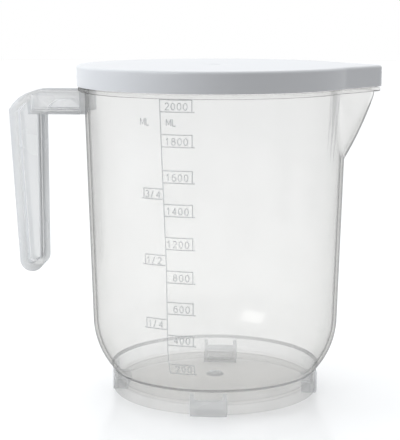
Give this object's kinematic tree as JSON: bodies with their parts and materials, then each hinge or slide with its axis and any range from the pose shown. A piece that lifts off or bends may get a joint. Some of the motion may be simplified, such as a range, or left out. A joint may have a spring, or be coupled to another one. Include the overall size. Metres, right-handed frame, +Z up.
{
  "type": "lidded measuring jug",
  "caption": "Translucent round measuring jug with V spout, open hook handle, foot ring on feet, raised graduation scale, and a lift-off lid whose tongue covers the spout.",
  "frame": {"origin": "in the plane of the four feet's soles, half-way along the whole length, 10.95 mm to the handle's side of the vessel's axis", "axes": "+Z up and parallel to the vessel's axis, +X to the pouring spout, -X to the handle"},
  "size_m": [0.1973, 0.147, 0.1767],
  "materials": {
    "clear_plastic": "milky see-through polypropylene, smooth",
    "scale_plastic": "raised marks in the same milky polypropylene",
    "lid_plastic": "opaque white polypropylene, fine satin"
  },
  "bodies": {
    "jug": {"vessel_wall": "clear_plastic", "vessel_bowl": "clear_plastic", "vessel_floor": "clear_plastic", "pouring_spout": "clear_plastic", "rim": "clear_plastic", "rim_flange": "clear_plastic", "rim_bead": "clear_plastic", "handle_root": "clear_plastic", "handle_arm": "clear_plastic", "handle_grip": "clear_plastic", "foot_ring": "clear_plastic", "foot_front": "clear_plastic", "foot_right": "clear_plastic", "foot_back": "clear_plastic", "foot_left": "clear_plastic", "gate_mark": "clear_plastic", "scale_lines": "scale_plastic", "scale_volumes": "scale_plastic", "scale_fractions": "scale_plastic"},
    "lid": {"lid_panel": "lid_plastic", "lid_skirt": "lid_plastic", "lid_rib": "lid_plastic", "lid_seal": "lid_plastic"}
  },
  "joints": [
    {"name": "lid_lift", "type": "slide", "parent": "jug", "child": "lid", "axis": [0, 0, 1], "range_m": [0, 0.06]}
  ]
}
